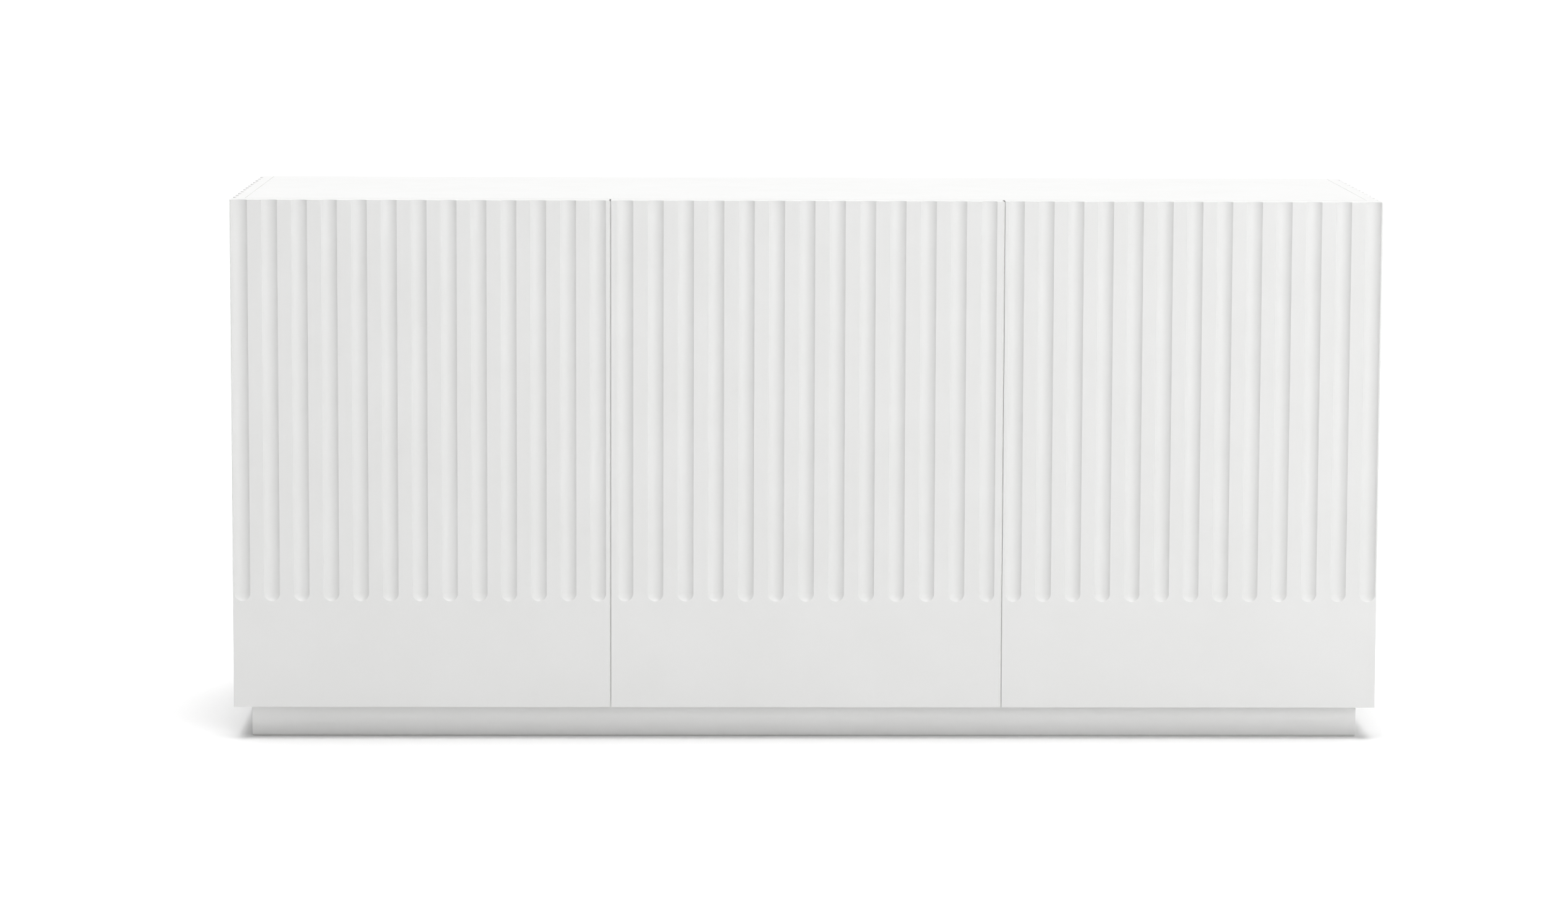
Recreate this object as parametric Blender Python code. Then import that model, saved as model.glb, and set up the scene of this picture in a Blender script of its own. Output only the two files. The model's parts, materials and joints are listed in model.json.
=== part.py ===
"""Fluted TV stand with three doors, modelled as the pieces it is assembled from.

Units are metres. X runs along the cabinet, Y from its front to its back and Z up. The origin is on
the floor, under the middle of the cabinet. Run with: blender --background --python part.py
"""

import math

import bmesh
import bpy
from mathutils import Matrix, Vector

# ---------------------------------------------------------------------------------------------
# Driving dimensions
# ---------------------------------------------------------------------------------------------

# Overall
WIDTH = 1.600
DEPTH = 0.450
BODY_HEIGHT = 0.712
PLINTH_HEIGHT = 0.044
GLIDE_HEIGHT = 0.002

# Boards
DOOR_THICKNESS = 0.022
SIDE_THICKNESS = 0.019
BOARD_THICKNESS = 0.018
SHELF_THICKNESS = 0.016
BACK_THICKNESS = 0.005
BACK_INSET = 0.002
SIDE_DOOR_WIDTH = 0.5253

# Gaps
SEAM = 0.0003
DOOR_GAP = 0.0022
DOOR_BACK_GAP = 0.002
EDGE_ROUND = 0.0015
EDGE_STEPS = 2

# Flutes: a round-nosed groove, open at the top and ending above a plain band
FLUTE_WIDTH = 0.0223
FLUTE_DEPTH = 0.0057
FLUTE_END_HEIGHT = 0.150
FLUTE_STEPS = 7
FLUTE_END_STEPS = 3
DOOR_FLUTES = 13
DOOR_FLUTE_OUTER_MARGIN = 0.0131
DOOR_FLUTE_INNER_MARGIN = 0.0158
SIDE_FLUTES = 12
SIDE_FLUTE_FRONT_MARGIN = 0.0131
SIDE_FLUTE_BACK_MARGIN = 0.026

# Plinth and glides
PLINTH_FRONT_RECESS = 0.028
PLINTH_END_RECESS = 0.0225
PLINTH_BACK_RECESS = 0.030
PLINTH_THICKNESS = 0.018
GLIDE_LENGTH = 0.060
GLIDE_WIDTH = 0.014

# Shelves and their pins
SHELF_HEIGHT = 0.335
SHELF_SIDE_GAP = 0.001
SHELF_FRONT_SETBACK = 0.045
SHELF_BACK_GAP = 0.004
SHELF_PIN_RADIUS = 0.0025
SHELF_PIN_REACH = 0.008
SHELF_PIN_EMBEDMENT = 0.010
SHELF_PIN_FRONT_SETBACK = 0.090
SHELF_PIN_BACK_SETBACK = 0.050

# Cable cut-outs in the back boards
CABLE_HOLE_RADIUS = 0.030
CABLE_HOLE_HEIGHT = 0.110

# Concealed hinges, in the plane of the floor: X runs towards the opening from an end board's
# thickness inside the door's hinge edge, Y backwards from the door's back face
HINGE_END_DISTANCE = 0.100
CUP_CENTRE = 0.0023
CUP_RADIUS = 0.0175
CUP_WALL = 0.0008
CUP_DEPTH = 0.0118
CUP_FLOOR = 0.0006
FLANGE_THICKNESS = 0.0008
FLANGE_WIDTH = 0.020
FLANGE_HEIGHT = 0.056
CUP_PIVOT = (-0.0106, -0.0092)
LINK_ELBOW = (-0.0005, -0.0106)
LINK_SHOULDER = (0.0036, -0.0052)
ARM_PIVOT = (0.0046, 0.0280)
LINK_THICKNESS = 0.0016
LINK_WIDTH = 0.0086
LINK_EYE_RADIUS = 0.0022
PIN_RADIUS = 0.0010
PIN_CLEARANCE = 0.00015
PIN_END_SHARE = 0.4
ARM_FLOOR_GAP = 0.0008
ARM_CHEEK_THICKNESS = 0.0015
ARM_CHEEK_GAP = 0.0003
ARM_CHEEK_REACH = 0.0028
ARM_CHEEK_LENGTH = 0.018
ARM_LENGTH = 0.056
ARM_SETBACK = 0.010
PLATE_HEIGHT = 0.048
PLATE_LENGTH = 0.018
PLATE_SETBACK = 0.037
PLATE_THICKNESS = 0.0012

# Push latches under the top board, at the free edge of each door
LATCH_EDGE_DISTANCE = 0.040
LATCH_WIDTH = 0.014
LATCH_HEIGHT = 0.014
LATCH_LENGTH = 0.070
LATCH_SETBACK = 0.003
PLUNGER_RADIUS = 0.003
PLUNGER_LENGTH = 0.034
PLUNGER_TRAVEL = 0.0025
STRIKE_RADIUS = 0.008
STRIKE_THICKNESS = 0.0012

# Number of sides on round pieces
BORE_SIDES = 24
PIN_SIDES = 12

# ---------------------------------------------------------------------------------------------
# Places worked out from the driving dimensions
# ---------------------------------------------------------------------------------------------

BODY_BOTTOM = GLIDE_HEIGHT + PLINTH_HEIGHT
BODY_TOP = BODY_BOTTOM + BODY_HEIGHT
FRONT = -DEPTH / 2
BACK = DEPTH / 2
DOOR_BACK = FRONT + DOOR_THICKNESS
CARCASS_FRONT = DOOR_BACK + DOOR_BACK_GAP
OUTER = WIDTH / 2
INNER = OUTER - SIDE_THICKNESS
UNDER_TOP = BODY_TOP - BOARD_THICKNESS
OVER_BOTTOM = BODY_BOTTOM + BOARD_THICKNESS
BACK_BOARD_FRONT = BACK - BACK_INSET - BACK_THICKNESS
GAP_CENTRE = OUTER - SIDE_DOOR_WIDTH - DOOR_GAP / 2
PARTITION_INNER = GAP_CENTRE - BOARD_THICKNESS / 2
PARTITION_OUTER = GAP_CENTRE + BOARD_THICKNESS / 2
MIDDLE_DOOR_EDGE = GAP_CENTRE - DOOR_GAP / 2
SHELF_UNDERSIDE = BODY_BOTTOM + SHELF_HEIGHT
SHELF_PIN_HEIGHT = SHELF_UNDERSIDE - SEAM - SHELF_PIN_RADIUS
FLUTE_RADIUS = (FLUTE_WIDTH**2 / 4 + FLUTE_DEPTH**2) / (2 * FLUTE_DEPTH)
FLUTE_HALF_ANGLE = math.asin(FLUTE_WIDTH / 2 / FLUTE_RADIUS)
FLUTE_END_CENTRE = BODY_BOTTOM + FLUTE_END_HEIGHT + FLUTE_WIDTH / 2
HINGE_HEIGHTS = {
    "lower": BODY_BOTTOM + HINGE_END_DISTANCE,
    "upper": BODY_TOP - HINGE_END_DISTANCE,
}
# Each door: the X of its hinge edge, the direction in which it spans, its width and the X of the
# board face that carries its hinge arms
DOORS = {
    "left": (-OUTER, 1, SIDE_DOOR_WIDTH, -INNER),
    "middle": (-MIDDLE_DOOR_EDGE, 1, 2 * MIDDLE_DOOR_EDGE, -PARTITION_INNER),
    "right": (OUTER, -1, SIDE_DOOR_WIDTH, INNER),
}
# Each compartment: the X of its left and right walls
COMPARTMENTS = {
    "left": (-INNER, -PARTITION_OUTER),
    "middle": (-PARTITION_INNER, PARTITION_INNER),
    "right": (PARTITION_OUTER, INNER),
}
CUT_MARGIN = 0.005


# ---------------------------------------------------------------------------------------------
# Materials
# ---------------------------------------------------------------------------------------------

def make_material(name, colour, roughness, metallic=0.0):
    material = bpy.data.materials.new(name)
    material.use_nodes = True
    shader = material.node_tree.nodes["Principled BSDF"]
    shader.inputs["Base Color"].default_value = (*colour, 1.0)
    shader.inputs["Roughness"].default_value = roughness
    shader.inputs["Metallic"].default_value = metallic
    return material


def make_materials():
    return {
        "lacquer": make_material("white_satin_lacquer", (0.82, 0.82, 0.81), 0.45),
        "melamine": make_material("white_melamine", (0.80, 0.80, 0.79), 0.55),
        "hardboard": make_material("white_hardboard", (0.76, 0.76, 0.75), 0.65),
        "steel": make_material("nickel_plated_steel", (0.62, 0.61, 0.59), 0.30, 1.0),
        "zinc": make_material("zinc_die_casting", (0.55, 0.55, 0.54), 0.38, 1.0),
        "plastic": make_material("white_nylon", (0.74, 0.74, 0.72), 0.50),
        "glide": make_material("grey_nylon", (0.30, 0.30, 0.30), 0.60),
    }


# ---------------------------------------------------------------------------------------------
# Mesh building, in world coordinates
# ---------------------------------------------------------------------------------------------

def add_box(bm, low, high):
    """A box between two opposite corners, given in any order."""
    low, high = Vector(low), Vector(high)
    size = high - low
    matrix = Matrix.Translation((low + high) / 2) @ Matrix.Diagonal((*map(abs, size), 1.0))
    bmesh.ops.create_cube(bm, size=1.0, matrix=matrix)


def add_cylinder(bm, start, end, radius, sides):
    """A capped cylinder from start to end."""
    start, end = Vector(start), Vector(end)
    turn = (end - start).to_track_quat("Z", "Y").to_matrix().to_4x4()
    bmesh.ops.create_cone(
        bm, cap_ends=True, segments=sides, radius1=radius, radius2=radius,
        depth=(end - start).length, matrix=Matrix.Translation((start + end) / 2) @ turn,
    )


def add_prism(bm, outline, bottom, top):
    """An outline of (x, y) points, extruded from one height to another."""
    corners = [bm.verts.new((x, y, bottom)) for x, y in outline]
    base = bm.faces.new(corners)
    raised = bmesh.ops.extrude_face_region(bm, geom=[base])["geom"]
    moved = [item for item in raised if isinstance(item, bmesh.types.BMVert)]
    bmesh.ops.translate(bm, verts=moved, vec=(0, 0, top - bottom))


def add_flute(bm, axis_x, axis_y, inward, top):
    """The round-nosed sweep that cuts one flute, as a wedge about an upright axis.

    inward is the direction from the axis into the board. The wedge is wider than the flute by
    half a facet on each side, so that no facet ends on the board's face.
    """
    profile = [(0.0, top), (FLUTE_RADIUS, top)]
    for step in range(FLUTE_END_STEPS + 1):
        angle = math.pi / 2 * step / FLUTE_END_STEPS
        radius = FLUTE_RADIUS * math.cos(angle) if step < FLUTE_END_STEPS else 0.0
        profile.append((radius, FLUTE_END_CENTRE - FLUTE_RADIUS * math.sin(angle)))
    half_sweep = FLUTE_HALF_ANGLE * FLUTE_STEPS / (FLUTE_STEPS - 1)
    axis = Vector((axis_x, axis_y, 0))
    first = Matrix.Rotation(-half_sweep, 3, "Z") @ Vector(inward)
    corners = [bm.verts.new(axis + first * radius + Vector((0, 0, z))) for radius, z in profile]
    face = bm.faces.new(corners)
    bmesh.ops.spin(
        bm, geom=[face], cent=axis, axis=(0, 0, 1), angle=2 * half_sweep, steps=FLUTE_STEPS,
    )


def link_outline(points, thickness):
    """The outline of a bent strip of even thickness, with mitred corners."""
    points = [Vector(point) for point in points]
    left, right = [], []
    for index, point in enumerate(points):
        before = (point - points[index - 1]).normalized() if index else None
        after = (points[index + 1] - point).normalized() if index < len(points) - 1 else None
        along = ((before or after) + (after or before)).normalized()
        across = Vector((-along.y, along.x))
        straight = before or after
        stretch = 1 / across.dot(Vector((-straight.y, straight.x)))
        left.append(point + across * thickness / 2 * stretch)
        right.append(point - across * thickness / 2 * stretch)
    return left + right[::-1]


# ---------------------------------------------------------------------------------------------
# Objects
# ---------------------------------------------------------------------------------------------

def world_place(item):
    """The world position of an unrotated object or empty."""
    place = Vector((0, 0, 0))
    while item:
        place += item.location
        item = item.parent
    return place


def add_pivot(name, place, parent=None):
    """An empty that marks a joint's axis or start."""
    pivot = bpy.data.objects.new(name, None)
    bpy.context.scene.collection.objects.link(pivot)
    pivot.parent = parent
    pivot.location = Vector(place) - world_place(parent)
    return pivot


def finish(name, bm, material=None, pivot=None, smooth=False):
    """Make an object of a mesh; its origin is its pivot, or else the middle of its box."""
    bmesh.ops.remove_doubles(bm, verts=bm.verts, dist=1e-6)
    bmesh.ops.recalc_face_normals(bm, faces=bm.faces)
    if pivot:
        origin = world_place(pivot)
    else:
        low = Vector(min(v.co[axis] for v in bm.verts) for axis in range(3))
        high = Vector(max(v.co[axis] for v in bm.verts) for axis in range(3))
        origin = (low + high) / 2
    bmesh.ops.translate(bm, verts=bm.verts, vec=-origin)
    mesh = bpy.data.meshes.new(name)
    bm.to_mesh(mesh)
    bm.free()
    if smooth:
        mesh.shade_smooth()
        mesh.set_sharp_from_angle(angle=math.radians(40))
    item = bpy.data.objects.new(name, mesh)
    bpy.context.scene.collection.objects.link(item)
    item.parent = pivot
    item.location = (0, 0, 0) if pivot else origin
    if material:
        mesh.materials.append(material)
    return item


def finish_guide(name, bm, pivot=None):
    """A shape that only cuts or joins another object."""
    guide = finish(name, bm, pivot=pivot)
    guide.hide_render = True
    guide.display_type = "WIRE"
    return guide


def combine(item, bm, operation, label):
    """Join a shape to an object, or cut it out, with a Boolean modifier."""
    guide = finish_guide(f"{item.name}_{label}_guide", bm, item.parent)
    modifier = item.modifiers.new(label, "BOOLEAN")
    modifier.operation = operation
    modifier.solver = "EXACT"
    modifier.object = guide


def cut(item, bm, label):
    combine(item, bm, "DIFFERENCE", label)


def join(item, bm, label):
    combine(item, bm, "UNION", label)


def round_edges(item, width=EDGE_ROUND):
    modifier = item.modifiers.new("edges", "BEVEL")
    modifier.width = width
    modifier.segments = EDGE_STEPS
    modifier.limit_method = "ANGLE"


def board(name, low, high, material, pivot=None):
    bm = bmesh.new()
    add_box(bm, low, high)
    return finish(name, bm, material, pivot)


# ---------------------------------------------------------------------------------------------
# Carcass
# ---------------------------------------------------------------------------------------------

def make_side_panel(name, side, materials):
    """A fluted end board. side is -1 on the left and 1 on the right."""
    panel = board(
        name,
        (side * INNER, CARCASS_FRONT, BODY_BOTTOM),
        (side * OUTER, BACK, BODY_TOP),
        materials["lacquer"],
    )
    round_edges(panel, EDGE_ROUND / 2)
    flutes = bmesh.new()
    axis_x = side * (OUTER + FLUTE_RADIUS - FLUTE_DEPTH)
    first = CARCASS_FRONT + SIDE_FLUTE_FRONT_MARGIN
    last = BACK - SIDE_FLUTE_BACK_MARGIN
    for index in range(SIDE_FLUTES):
        y = first + (last - first) * index / (SIDE_FLUTES - 1)
        add_flute(flutes, axis_x, y, (-side, 0, 0), BODY_TOP + CUT_MARGIN)
    cut(panel, flutes, "flutes")
    holes = bmesh.new()
    depth = SHELF_PIN_EMBEDMENT + SEAM
    for y in shelf_pin_rows():
        add_cylinder(
            holes,
            (side * (INNER + depth), y, SHELF_PIN_HEIGHT),
            (side * (INNER - CUT_MARGIN), y, SHELF_PIN_HEIGHT),
            SHELF_PIN_RADIUS + SEAM, PIN_SIDES,
        )
    cut(panel, holes, "pin_holes")


def shelf_pin_rows():
    """The Y of the front and back rows of shelf pins."""
    return CARCASS_FRONT + SHELF_PIN_FRONT_SETBACK, BACK_BOARD_FRONT - SHELF_PIN_BACK_SETBACK


def make_partition(name, side, materials):
    """An upright board between two compartments, drilled through for the shelf pins."""
    panel = board(
        name,
        (side * PARTITION_INNER, CARCASS_FRONT, OVER_BOTTOM + SEAM),
        (side * PARTITION_OUTER, BACK_BOARD_FRONT - SEAM, UNDER_TOP - SEAM),
        materials["melamine"],
    )
    holes = bmesh.new()
    for y in shelf_pin_rows():
        add_cylinder(
            holes,
            (side * (PARTITION_INNER - CUT_MARGIN), y, SHELF_PIN_HEIGHT),
            (side * (PARTITION_OUTER + CUT_MARGIN), y, SHELF_PIN_HEIGHT),
            SHELF_PIN_RADIUS + SEAM, PIN_SIDES,
        )
    cut(panel, holes, "pin_holes")


def make_back_panels(materials):
    """Three back boards that meet behind the partitions, each with a round cable cut-out."""
    edges = {
        "left": (-INNER + SEAM, -GAP_CENTRE - SEAM),
        "middle": (-GAP_CENTRE + SEAM, GAP_CENTRE - SEAM),
        "right": (GAP_CENTRE + SEAM, INNER - SEAM),
    }
    for label, (start, end) in edges.items():
        panel = board(
            f"back_panel_{label}",
            (start, BACK_BOARD_FRONT, OVER_BOTTOM + SEAM),
            (end, BACK_BOARD_FRONT + BACK_THICKNESS, UNDER_TOP - SEAM),
            materials["hardboard"],
        )
        left, right = COMPARTMENTS[label]
        x, z = (left + right) / 2, OVER_BOTTOM + CABLE_HOLE_HEIGHT
        hole = bmesh.new()
        add_cylinder(
            hole, (x, BACK_BOARD_FRONT - CUT_MARGIN, z), (x, BACK + CUT_MARGIN, z),
            CABLE_HOLE_RADIUS, BORE_SIDES,
        )
        cut(panel, hole, "cable_hole")


def make_shelves(materials):
    """One board in each compartment, resting on four pins."""
    for label, (left, right) in COMPARTMENTS.items():
        board(
            f"shelf_{label}",
            (left + SHELF_SIDE_GAP, CARCASS_FRONT + SHELF_FRONT_SETBACK, SHELF_UNDERSIDE),
            (right - SHELF_SIDE_GAP, BACK_BOARD_FRONT - SHELF_BACK_GAP,
             SHELF_UNDERSIDE + SHELF_THICKNESS),
            materials["melamine"],
        )


def make_shelf_pins(materials):
    """Pins in blind holes in the ends, and pins that run right through the partitions."""
    spans = {
        "left_end": (-INNER - SHELF_PIN_EMBEDMENT, -INNER + SHELF_PIN_REACH),
        "left_partition": (-PARTITION_OUTER - SHELF_PIN_REACH, -PARTITION_INNER + SHELF_PIN_REACH),
        "right_partition": (PARTITION_INNER - SHELF_PIN_REACH, PARTITION_OUTER + SHELF_PIN_REACH),
        "right_end": (INNER - SHELF_PIN_REACH, INNER + SHELF_PIN_EMBEDMENT),
    }
    for place, (start, end) in spans.items():
        for row, y in zip(("front", "back"), shelf_pin_rows()):
            pin = bmesh.new()
            add_cylinder(
                pin, (start, y, SHELF_PIN_HEIGHT), (end, y, SHELF_PIN_HEIGHT),
                SHELF_PIN_RADIUS, PIN_SIDES,
            )
            finish(f"shelf_pin_{place}_{row}", pin, materials["steel"], smooth=True)


def make_carcass(materials):
    make_side_panel("side_panel_left", -1, materials)
    make_side_panel("side_panel_right", 1, materials)
    top = board(
        "top_panel",
        (-INNER + SEAM, CARCASS_FRONT, UNDER_TOP), (INNER - SEAM, BACK, BODY_TOP),
        materials["lacquer"],
    )
    round_edges(top, EDGE_ROUND / 5)
    board(
        "bottom_panel",
        (-INNER + SEAM, CARCASS_FRONT, BODY_BOTTOM), (INNER - SEAM, BACK, OVER_BOTTOM),
        materials["melamine"],
    )
    make_partition("partition_left", -1, materials)
    make_partition("partition_right", 1, materials)
    make_back_panels(materials)
    make_shelves(materials)
    make_shelf_pins(materials)


# ---------------------------------------------------------------------------------------------
# Plinth
# ---------------------------------------------------------------------------------------------

def make_plinth(materials):
    """A recessed frame of rails on edge, with a cross rail in its middle and glides under it."""
    end = OUTER - PLINTH_END_RECESS
    front = FRONT + PLINTH_FRONT_RECESS
    back = BACK - PLINTH_BACK_RECESS
    bottom = GLIDE_HEIGHT
    top = BODY_BOTTOM - SEAM
    inner_front = front + PLINTH_THICKNESS + SEAM
    inner_back = back - PLINTH_THICKNESS - SEAM
    for name, y in (("plinth_front", front), ("plinth_back", back - PLINTH_THICKNESS)):
        rail = board(
            name, (-end, y, bottom), (end, y + PLINTH_THICKNESS, top), materials["lacquer"],
        )
        round_edges(rail, EDGE_ROUND / 2)
    rails = {
        "plinth_end_left": -end,
        "plinth_cross_rail": -PLINTH_THICKNESS / 2,
        "plinth_end_right": end - PLINTH_THICKNESS,
    }
    for name, x in rails.items():
        board(
            name, (x, inner_front, bottom), (x + PLINTH_THICKNESS, inner_back, top),
            materials["lacquer"],
        )
    inset = (PLINTH_THICKNESS - GLIDE_WIDTH) / 2
    reach = end - GLIDE_WIDTH
    rows = {"front": front + inset, "back": back - inset - GLIDE_WIDTH}
    for row, y in rows.items():
        for side, start in (("left", -reach), ("right", reach - GLIDE_LENGTH)):
            board(
                f"glide_{row}_{side}",
                (start, y, 0), (start + GLIDE_LENGTH, y + GLIDE_WIDTH, bottom - SEAM),
                materials["glide"],
            )
    board(
        "glide_middle",
        (-GLIDE_WIDTH / 2, -GLIDE_LENGTH / 2, 0),
        (GLIDE_WIDTH / 2, GLIDE_LENGTH / 2, bottom - SEAM),
        materials["glide"],
    )


# ---------------------------------------------------------------------------------------------
# Doors and hinges
# ---------------------------------------------------------------------------------------------

def door_flutes(label):
    """The X of each flute on a door."""
    edge, direction, width, _ = DOORS[label]
    if label == "middle":
        pitch = (width + DOOR_GAP) / DOOR_FLUTES
        first = (pitch - DOOR_GAP) / 2
    else:
        first = DOOR_FLUTE_OUTER_MARGIN
        pitch = (width - first - DOOR_FLUTE_INNER_MARGIN) / (DOOR_FLUTES - 1)
    return [edge + direction * (first + pitch * index) for index in range(DOOR_FLUTES)]


def hinge_point(label, point):
    """A point of the hinge plan of one door, as (x, y)."""
    edge, direction = DOORS[label][:2]
    return edge + direction * (SIDE_THICKNESS + point[0]), DOOR_BACK + point[1]


def make_door(label, pivot, materials):
    edge, direction, width, _ = DOORS[label]
    door = board(
        f"door_{label}",
        (edge, FRONT, BODY_BOTTOM), (edge + direction * width, DOOR_BACK, BODY_TOP),
        materials["lacquer"], pivot,
    )
    round_edges(door)
    flutes = bmesh.new()
    axis_y = FRONT - FLUTE_RADIUS + FLUTE_DEPTH
    for x in door_flutes(label):
        add_flute(flutes, x, axis_y, (0, 1, 0), BODY_TOP + CUT_MARGIN)
    cut(door, flutes, "flutes")
    bores = bmesh.new()
    x = hinge_point(label, (CUP_CENTRE, 0))[0]
    bottom = DOOR_BACK - CUP_DEPTH - CUP_FLOOR - SEAM
    for z in HINGE_HEIGHTS.values():
        add_cylinder(
            bores, (x, bottom, z), (x, DOOR_BACK + CUT_MARGIN, z), CUP_RADIUS + SEAM, BORE_SIDES,
        )
    cut(door, bores, "cup_bores")


def make_cup(name, label, z, pivot, materials):
    """A pressed cup with a screw flange, and the pin on which the link turns.

    Beside the flange the rim is level with the door's back face, so the link can swing over it.
    """
    x = hinge_point(label, (CUP_CENTRE, 0))[0]
    floor = DOOR_BACK - CUP_DEPTH
    rim = DOOR_BACK + SEAM + FLANGE_THICKNESS
    bm = bmesh.new()
    add_cylinder(bm, (x, floor - CUP_FLOOR, z), (x, rim, z), CUP_RADIUS, BORE_SIDES)
    cup = finish(name, bm, materials["steel"], pivot, smooth=True)
    flange = bmesh.new()
    add_box(
        flange,
        (x - FLANGE_WIDTH / 2, DOOR_BACK + SEAM, z - FLANGE_HEIGHT / 2),
        (x + FLANGE_WIDTH / 2, rim, z + FLANGE_HEIGHT / 2),
    )
    join(cup, flange, "flange")
    hollow = bmesh.new()
    add_cylinder(
        hollow, (x, floor, z), (x, rim + CUT_MARGIN, z), CUP_RADIUS - CUP_WALL, BORE_SIDES,
    )
    cut(cup, hollow, "hollow")
    shoulders = bmesh.new()
    for side in (-1, 1):
        add_box(
            shoulders,
            (x + side * FLANGE_WIDTH / 2, DOOR_BACK, z - CUP_RADIUS - CUT_MARGIN),
            (x + side * (CUP_RADIUS + CUT_MARGIN), rim + CUT_MARGIN, z + CUP_RADIUS + CUT_MARGIN),
        )
    cut(cup, shoulders, "low_rim")
    pin_x, pin_y = hinge_point(label, CUP_PIVOT)
    offset = CUP_CENTRE - CUP_PIVOT[0] + PIN_RADIUS
    reach = math.sqrt((CUP_RADIUS - CUP_WALL * PIN_END_SHARE) ** 2 - offset**2)
    pin = bmesh.new()
    add_cylinder(
        pin, (pin_x, pin_y, z - reach), (pin_x, pin_y, z + reach), PIN_RADIUS, PIN_SIDES,
    )
    join(cup, pin, "pin")


def make_link(name, label, z, pivot, materials):
    """The cranked strip that carries the cup's pin, with an eye at each end."""
    path = [hinge_point(label, p) for p in (CUP_PIVOT, LINK_ELBOW, LINK_SHOULDER, ARM_PIVOT)]
    bottom, top = z - LINK_WIDTH / 2, z + LINK_WIDTH / 2
    bm = bmesh.new()
    add_prism(bm, link_outline(path, LINK_THICKNESS), bottom, top)
    link = finish(name, bm, materials["steel"], pivot)
    for label_end, (x, y) in (("cup_eye", path[0]), ("arm_eye", path[-1])):
        eye = bmesh.new()
        add_cylinder(eye, (x, y, bottom), (x, y, top), LINK_EYE_RADIUS, PIN_SIDES)
        join(link, eye, label_end)
    bores = bmesh.new()
    for x, y in (path[0], path[-1]):
        add_cylinder(
            bores, (x, y, bottom - CUT_MARGIN), (x, y, top + CUT_MARGIN),
            PIN_RADIUS + PIN_CLEARANCE, PIN_SIDES,
        )
    cut(link, bores, "bores")


def make_arm(name, label, z, materials):
    """The fixed arm on its mounting plate, with two cheeks that hold the link's pin."""
    _, direction, _, face = DOORS[label]
    pin_x, pin_y = hinge_point(label, ARM_PIVOT)
    base = face + direction * SEAM
    floor = pin_x - direction * (LINK_EYE_RADIUS + ARM_FLOOR_GAP)
    crest = pin_x + direction * ARM_CHEEK_REACH
    inner = LINK_WIDTH / 2 + ARM_CHEEK_GAP
    outer = inner + ARM_CHEEK_THICKNESS
    start = CARCASS_FRONT + ARM_SETBACK
    bm = bmesh.new()
    add_box(bm, (base, start, z - outer), (floor, start + ARM_LENGTH, z + outer))
    arm = finish(name, bm, materials["zinc"])
    plate = bmesh.new()
    plate_y = CARCASS_FRONT + PLATE_SETBACK
    add_box(
        plate,
        (base, plate_y - PLATE_LENGTH / 2, z - PLATE_HEIGHT / 2),
        (base + direction * PLATE_THICKNESS, plate_y + PLATE_LENGTH / 2, z + PLATE_HEIGHT / 2),
    )
    join(arm, plate, "plate")
    overlap = direction * ARM_FLOOR_GAP / 2
    for side, sign in (("lower", -1), ("upper", 1)):
        cheek = bmesh.new()
        add_box(
            cheek,
            (floor - overlap, pin_y - ARM_CHEEK_LENGTH / 2, z + sign * inner),
            (crest, pin_y + ARM_CHEEK_LENGTH / 2, z + sign * outer),
        )
        join(arm, cheek, f"{side}_cheek")
    pin = bmesh.new()
    reach = (inner + outer) / 2
    add_cylinder(
        pin, (pin_x, pin_y, z - reach), (pin_x, pin_y, z + reach), PIN_RADIUS, PIN_SIDES,
    )
    join(arm, pin, "pin")


def make_door_set(label, materials):
    """A door with its two hinges. It turns on the links, and the links turn on the arms."""
    middle = (BODY_BOTTOM + BODY_TOP) / 2
    link_pivot = add_pivot(f"{label}_link_axis", (*hinge_point(label, ARM_PIVOT), middle))
    door_pivot = add_pivot(f"{label}_door_axis", (*hinge_point(label, CUP_PIVOT), middle), link_pivot)
    make_door(label, door_pivot, materials)
    for level, z in HINGE_HEIGHTS.items():
        make_cup(f"hinge_cup_{label}_{level}", label, z, door_pivot, materials)
        make_link(f"hinge_link_{label}_{level}", label, z, link_pivot, materials)
        make_arm(f"hinge_arm_{label}_{level}", label, z, materials)
    return door_pivot


# ---------------------------------------------------------------------------------------------
# Push latches
# ---------------------------------------------------------------------------------------------

def make_latch(label, door_pivot, materials):
    """A push-to-open latch under the top board, and the strike plate that it meets."""
    edge, direction, width, _ = DOORS[label]
    x = edge + direction * (width - LATCH_EDGE_DISTANCE)
    top = UNDER_TOP - SEAM
    z = top - LATCH_HEIGHT / 2
    strike_back = DOOR_BACK + SEAM + STRIKE_THICKNESS
    tip = strike_back + SEAM
    start = CARCASS_FRONT + LATCH_SETBACK
    housing = board(
        f"latch_housing_{label}",
        (x - LATCH_WIDTH / 2, start, top - LATCH_HEIGHT),
        (x + LATCH_WIDTH / 2, start + LATCH_LENGTH, top),
        materials["plastic"],
    )
    round_edges(housing, EDGE_ROUND / 2)
    bore = bmesh.new()
    bore_end = tip + PLUNGER_LENGTH + PLUNGER_TRAVEL + SEAM
    add_cylinder(
        bore, (x, start - CUT_MARGIN, z), (x, bore_end, z), PLUNGER_RADIUS + SEAM, PIN_SIDES,
    )
    cut(housing, bore, "bore")
    rest = add_pivot(f"{label}_plunger_axis", (x, tip, z))
    plunger = bmesh.new()
    add_cylinder(plunger, (x, tip, z), (x, tip + PLUNGER_LENGTH, z), PLUNGER_RADIUS, PIN_SIDES)
    finish(f"latch_plunger_{label}", plunger, materials["plastic"], rest, smooth=True)
    strike = bmesh.new()
    add_cylinder(
        strike, (x, DOOR_BACK + SEAM, z), (x, strike_back, z), STRIKE_RADIUS, BORE_SIDES,
    )
    finish(f"strike_plate_{label}", strike, materials["steel"], door_pivot, smooth=True)


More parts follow.
